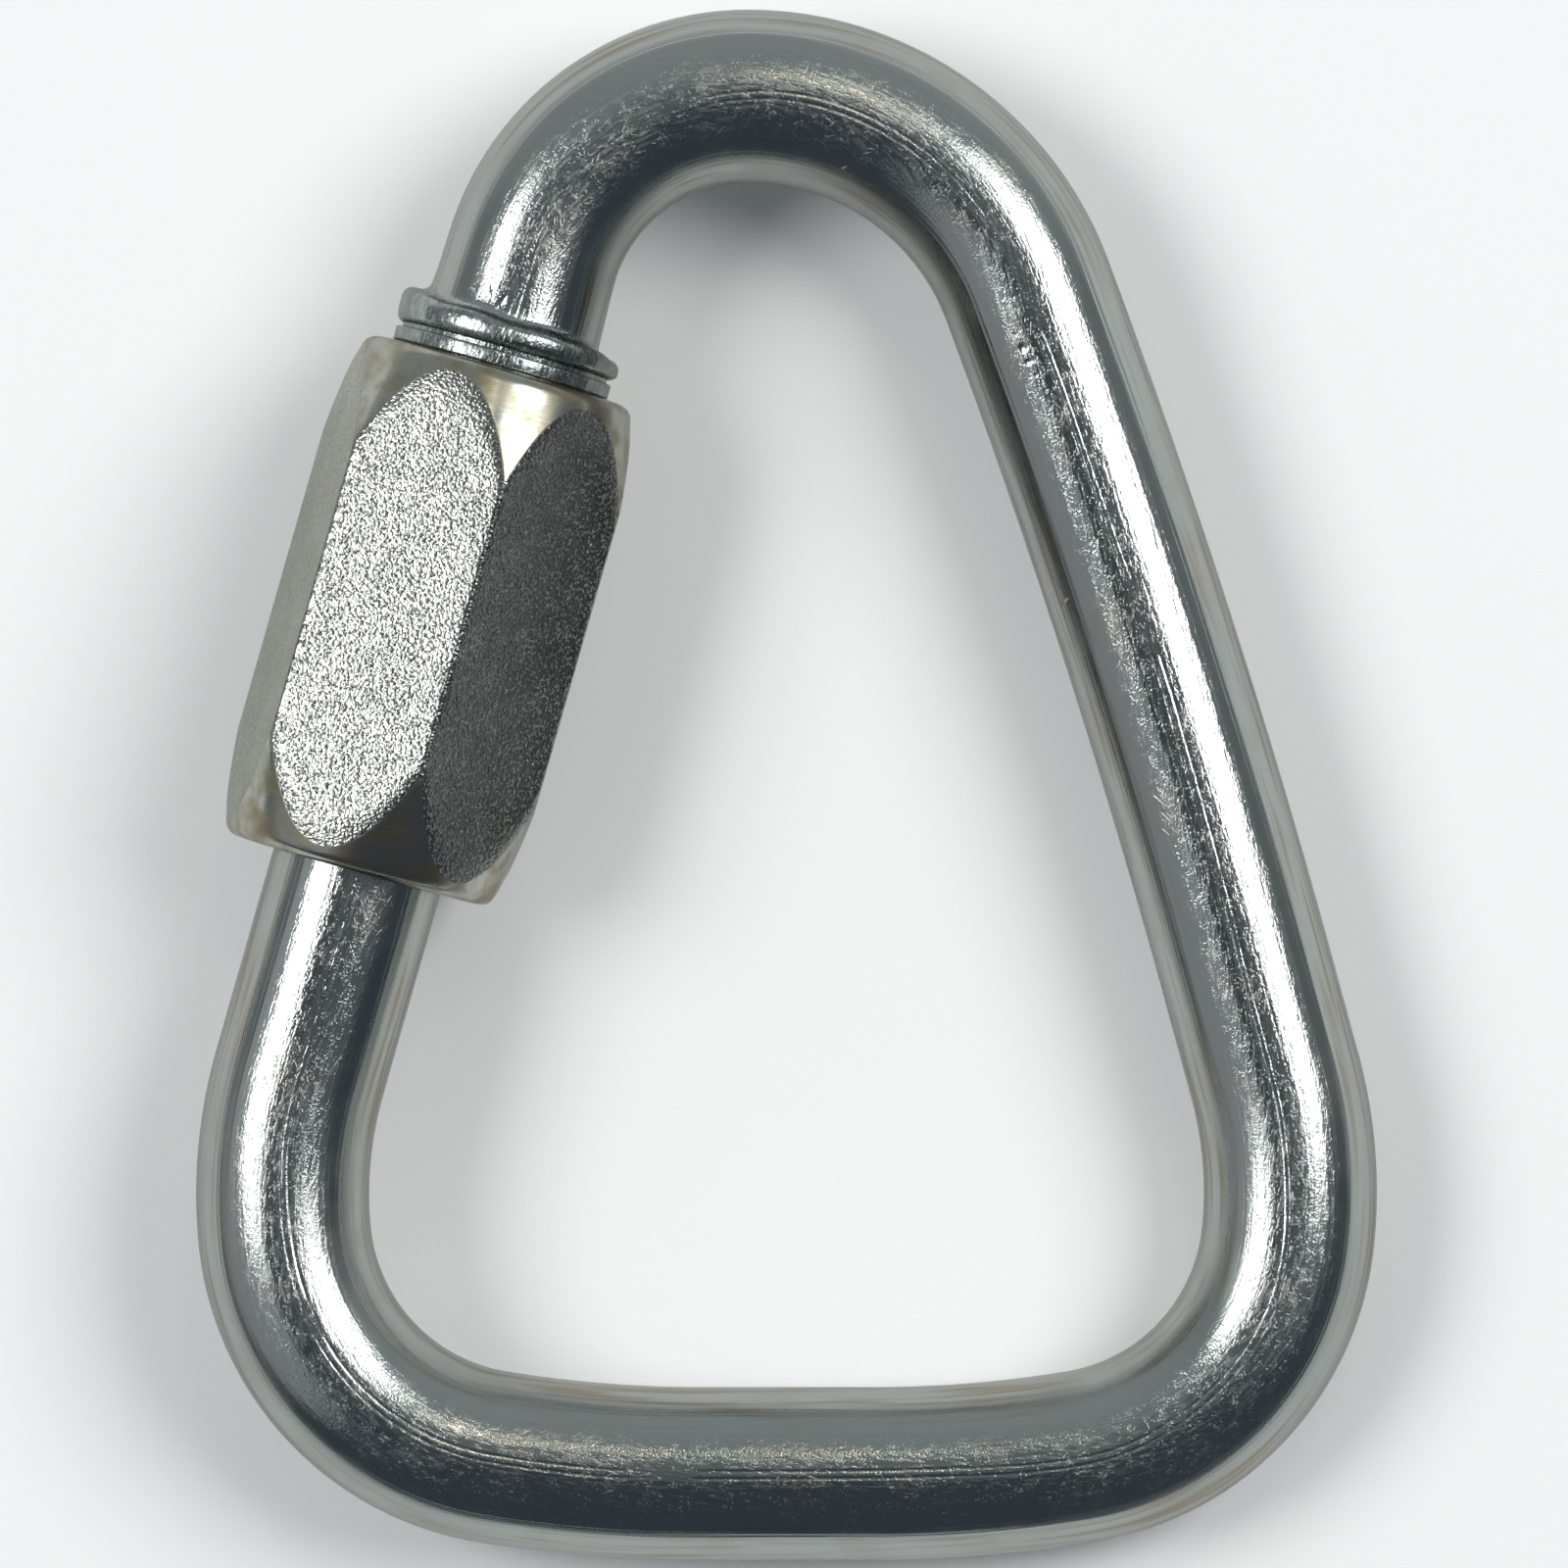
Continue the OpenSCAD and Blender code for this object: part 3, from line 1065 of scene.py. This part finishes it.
@dataclass
class SleeveNut:
    """The long hexagonal nut with turned ends. Millimetres and degrees."""

    af: float = 13.0
    length: float = 24.0
    end_inset: float = 0.4
    dome_angle: float = 15.6
    dome_r: float = 60.0
    end_round: float = 0.7
    corner_round: float = 0.28
    bore_d: float = 9.3
    bore_chamfer: float = 0.25
    turn: float = 15.5
    seat_play: float = 0.05
    # points of the mesh across a flat and a corner, and along a dome, a flat and a rounded end
    flat_columns: int = 26
    corner_columns: int = 7
    dome_rows: int = 12
    flat_rows: int = 14
    round_rows: int = 7

    def _outline(self) -> tuple[np.ndarray, np.ndarray]:
        """Gives the hexagon with rounded corners.

        Returns:
            Angles in radians and radii, in order round the nut.
        """
        points = []
        half_side = math.pi / 6
        half = (self.af / 2 - self.corner_round) * math.tan(half_side)
        centre = (self.af / 2 - self.corner_round) / math.cos(half_side)
        for k in range(6):
            corner, flat = 2 * k * half_side, (2 * k + 1) * half_side
            middle = centre * np.array([math.cos(corner), math.sin(corner)])
            for a in np.linspace(-half_side, half_side, self.corner_columns)[1:]:
                way = np.array([math.cos(corner + a), math.sin(corner + a)])
                points.append(middle + self.corner_round * way)
            out = np.array([math.cos(flat), math.sin(flat)])
            side = np.array([-math.sin(flat), math.cos(flat)])
            for x in np.linspace(-half, half, self.flat_columns)[1:]:
                points.append(self.af / 2 * out + x * side)
        xy = np.array(points)
        return np.arctan2(xy[:, 1], xy[:, 0]) + math.radians(self.turn), np.hypot(xy[:, 0], xy[:, 1])

    def _column(self, hex_r: float) -> list[tuple[float, float, Face]]:
        """Gives one column of the nut from its upper to its lower end.

        Args:
            hex_r: Radius of the hexagon on this column.

        Returns:
            Radius, length and the finish of the faces after each row.
        """
        end_r, slope = (self.af - self.end_inset) / 2, math.radians(self.dome_angle)
        dome_x, dome_z = end_r - self.dome_r * math.cos(slope), self.dome_r * math.sin(slope)
        reach = self.dome_r - self.end_round
        round_r = dome_x + math.sqrt(reach**2 - (dome_z - self.end_round) ** 2)
        last = math.atan2(self.end_round - dome_z, round_r - dome_x)
        edge_z = dome_z + self.dome_r * math.sin(last)
        arch = dome_z - math.sqrt(self.dome_r**2 - (hex_r - dome_x) ** 2)
        upper = [(self.bore_d / 2 + self.bore_chamfer, 0.0, Face.TURNED)]
        for a in np.linspace(-math.pi / 2, last, self.round_rows):
            r, z = round_r + self.end_round * math.cos(a), self.end_round * (1 + math.sin(a))
            upper.append((r, z, Face.TURNED))
        for z in np.linspace(edge_z, arch, self.dome_rows)[1:-1]:
            upper.append((dome_x + math.sqrt(self.dome_r**2 - (z - dome_z) ** 2), z, Face.TURNED))
        flats = [(hex_r, z, Face.BLASTED) for z in np.linspace(arch, self.length - arch, self.flat_rows)]
        flats[-1] = (*flats[-1][:2], Face.TURNED)
        lower = [(r, self.length - z, Face.TURNED) for r, z, _ in upper[::-1]]
        bore, mouth = self.bore_d / 2, self.bore_chamfer
        inner = [(bore, self.length - mouth, Face.TURNED), (bore, mouth, Face.TURNED)]
        return upper + flats + lower + inner

    def build(self, seat: Vector, lean: float) -> bpy.types.Object:
        """Builds the nut as one closed mesh.

        Args:
            seat: Where the collar's ring stops it, on the axis, in millimetres.
            lean: Lean of the leg it sits on.

        Returns:
            The nut's object.
        """
        around, hex_r = self._outline()
        columns = [self._column(r) for r in hex_r]
        local = np.array(
            [[(r * math.cos(a), r * math.sin(a), z) for r, z, _ in col] for a, col in zip(around, columns)]
        )
        right = np.array([math.cos(math.radians(lean)), -math.sin(math.radians(lean)), 0.0])
        down = np.array([-math.sin(math.radians(lean)), -math.cos(math.radians(lean)), 0.0])
        towards = np.array([0.0, 0.0, 1.0])
        base = np.array(seat) + self.seat_play * down
        world = base + local[..., :1] * right + local[..., 1:2] * towards + local[..., 2:] * down
        count = local.shape[1]
        grid = np.arange(local.shape[0] * count).reshape(local.shape[0], count)
        side, ahead = np.roll(grid, -1, 0), np.roll(grid, -1, 1)
        corner = np.roll(side, -1, 1)
        quads = np.stack([grid, side, corner, ahead], -1).reshape(-1, 4)
        made = mesh_object("nut", world.reshape(-1, 3) * MM, quads, [])
        set_attribute(made, "axial", local[..., 2].ravel())
        kinds = np.tile([face.value for _, _, face in columns[0]], local.shape[0])
        made.data.polygons.foreach_set("material_index", kinds.astype(np.int32))
        return made

    def dress(self, made: bpy.types.Object, flats: BlastedZinc, ends: TurnedZinc) -> None:
        """Gives the nut its finishes and its body.

        Args:
            made: The nut's object.
            flats: Finish of the flats.
            ends: Finish of the ends and the bore.
        """
        made.data.materials.append(flats.build())
        made.data.materials.append(ends.build())
        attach(made, Body.NUT.value)
        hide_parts("sleeve_nut")


@dataclass(frozen=True)
class Softbox:
    """A round lamp, by the direction it shines from, in degrees from +X and off the upright. Metres."""

    name: str
    azimuth: float
    tilt: float
    width_deg: float
    radiance: float
    colour: str = "#ffffff"
    distance: float = 1.1

    def build(self, target: Vector) -> None:
        """Hangs the lamp.

        Args:
            target: Point it looks at, in metres.
        """
        a, t = math.radians(self.azimuth), math.radians(self.tilt)
        out = Vector((math.sin(t) * math.cos(a), math.sin(t) * math.sin(a), math.cos(t)))
        lamp = bpy.data.lights.new(self.name, "AREA")
        lamp.shape = "DISK"
        lamp.size = 2 * self.distance * math.tan(math.radians(self.width_deg / 2))
        # power goes up with the lamp's area, so a wider lamp is as bright to look at
        lamp.energy = self.radiance * 4 * math.pi * (lamp.size / 2) ** 2
        lamp.color = linear(self.colour)[:3]
        made = bpy.data.objects.new(self.name, lamp)
        made.location = target + out * self.distance
        made.rotation_mode = "QUATERNION"
        made.rotation_quaternion = (-out).to_track_quat("-Z", "Y")
        made.visible_camera = False
        bpy.context.scene.collection.objects.link(made)


@dataclass
class Studio:
    """Floor, lamps, surroundings and camera. The floor's size and the camera's reach are in metres."""

    view_centre: Span = (-0.116, 31.89)
    view_width: float = 72.52
    lens: float = 250.0
    sensor: float = 36.0
    clip: Span = (0.01, 20.0)
    floor_colour: str = "#fcfcfb"
    floor_roughness: float = 0.9
    floor_size: float = 8.0
    lamps: tuple[Softbox, ...] = (
        Softbox("left_softbox", 168, 42, 27, 5.6),
        Softbox("left_glow", 190, 55, 60, 0.26),
        Softbox("right_softbox", 23, 38, 31, 5.2),
        Softbox("right_glow", 12, 38, 56, 0.07),
        Softbox("top_strip", 76, 29, 8, 4.2, "#fff0d8"),
        Softbox("ceiling", 0, 0, 18, 0.07),
    )
    # colours of the surroundings from the foot of the picture, at 0, to its top, at 1
    sky: tuple[tuple[float, str], ...] = (
        (0.0, "#464e58"),
        (0.36, "#4a525b"),
        (0.52, "#585e63"),
        (0.72, "#959d9f"),
        (0.95, "#adb5b7"),
    )

    def build(self, nut_points: list[Vector], along: Vector, far: list[Vector], bar_r: float) -> None:
        """Builds the stage round the link.

        Args:
            nut_points: Points of the nut, in millimetres.
            along: Direction of its edges.
            far: Points of the bar's axis, in millimetres.
            bar_r: Radius of the bar.
        """
        target = Vector((*self.view_centre, 0)) * MM
        for lamp in self.lamps:
            lamp.build(target)
        self._floor(nut_points, along, far, bar_r)
        self._sky()
        self._camera(target)
        bpy.context.scene.view_settings.view_transform = "Standard"

    def _floor(self, nut_points: list[Vector], along: Vector, far: list[Vector], bar_r: float) -> None:
        """Lays the floor under the nut's lowest edge and the bar's far side, as the link lies.

        Args:
            nut_points: Points of the nut, in millimetres.
            along: Direction of its edges.
            far: Points of the bar's axis, in millimetres.
            bar_r: Radius of the bar.
        """
        nut_edge = min(nut_points, key=lambda p: p.z)
        across = Vector((along.y, -along.x, 0)).normalized()
        reach = max((p - nut_edge).xy.dot(across.xy) for p in far)
        drop = -nut_edge.z
        tilt = math.acos(bar_r / math.hypot(reach, drop)) - math.atan2(reach, drop)
        slope = (across * math.cos(tilt) + Vector((0, 0, math.sin(tilt)))).normalized()
        normal = slope.cross(along).normalized()
        normal = normal if normal.z > 0 else -normal
        lowest = min((p - nut_edge).dot(normal) for p in nut_points)
        centre, half = (nut_edge + normal * lowest) * MM, self.floor_size / 2
        corners = [
            tuple(centre + along * a * half + slope * b * half)
            for a, b in ((-1, -1), (1, -1), (1, 1), (-1, 1))
        ]
        mesh = bpy.data.meshes.new("floor")
        mesh.from_pydata(corners, [], [(0, 1, 2, 3)])
        made = bpy.data.objects.new("floor", mesh)
        bpy.context.scene.collection.objects.link(made)
        made.data.materials.append(self._card())
        log.info("floor tilted by %.2f degrees", math.degrees(tilt))

    def _card(self) -> bpy.types.Material:
        """Builds the floor's material.

        Returns:
            The material.
        """
        # uncoated card scatters light evenly, so the floor shows soft shadows and no reflection
        material, tree = new_material("matt white card")
        surface = add_node(
            tree,
            "BsdfPrincipled",
            {
                "Base Color": linear(self.floor_colour),
                "Roughness": self.floor_roughness,
                "Specular IOR Level": 0.0,
            },
        )
        add_node(tree, "OutputMaterial", {"Surface": surface.outputs["BSDF"]})
        return material

    def _sky(self) -> None:
        """Makes the surroundings darker towards the foot of the picture."""
        world = bpy.data.worlds.new("studio")
        bpy.context.scene.world = world
        world.use_nodes = True
        tree = world.node_tree
        tree.nodes.clear()
        way = add_node(tree, "TexCoord").outputs["Generated"]
        parts = add_node(tree, "SeparateXYZ", {"Vector": way})
        share = add_node(tree, "MapRange", {"Value": parts.outputs["Y"], "From Min": -1.0, "From Max": 1.0})
        ramp = add_node(tree, "ValToRGB", {"Fac": share.outputs["Result"]})
        band = ramp.color_ramp
        # a new ramp has two colours, and the places of all are set below
        while len(band.elements) < len(self.sky):
            band.elements.new(0.5)
        for element, (position, colour) in zip(band.elements, self.sky):
            element.position = position
            element.color = linear(colour)
        back = add_node(tree, "Background", {"Color": ramp.outputs["Color"], "Strength": 1.0})
        add_node(tree, "OutputWorld", {"Surface": back.outputs["Background"]})

    def _camera(self, target: Vector) -> None:
        """Hangs the camera straight above the link, with the crown at the top of the picture.

        Args:
            target: Point it looks at, in metres.
        """
        data = bpy.data.cameras.new("camera")
        data.lens, data.sensor_width = self.lens, self.sensor
        data.clip_start, data.clip_end = self.clip
        made = bpy.data.objects.new("camera", data)
        made.location = target + Vector((0, 0, self.view_width * self.lens / self.sensor * MM))
        bpy.context.scene.collection.objects.link(made)
        bpy.context.scene.camera = made


def main() -> None:
    """Builds the bar, the nut and the studio in order."""
    logging.basicConfig(level=logging.INFO, format="%(name)s: %(message)s")
    bar = BentBar()
    bar.lay_out()
    bar_piece = bar.build()
    bar.dress(bar_piece, BrightZinc())
    log.info("bar: %d faces, %.1f mm of axis", len(bar_piece.data.polygons), bar.path.length)
    nut = SleeveNut()
    nut_piece = nut.build(bar.seat, bar.left_lean)
    nut.dress(nut_piece, BlastedZinc(), TurnedZinc())
    log.info("nut: %d faces", len(nut_piece.data.polygons))
    nut_points = [v.co / MM for v in nut_piece.data.vertices]
    lean = math.radians(bar.left_lean)
    along = Vector((math.sin(lean), math.cos(lean), 0))
    axis, _, _ = bar.path.at(np.arange(0, bar.path.length, bar.ring_step))
    studio = Studio()
    studio.build(nut_points, along, [Vector((*p, 0)) for p in axis], bar.bar_d / 2)


if __name__ == "__main__":
    main()
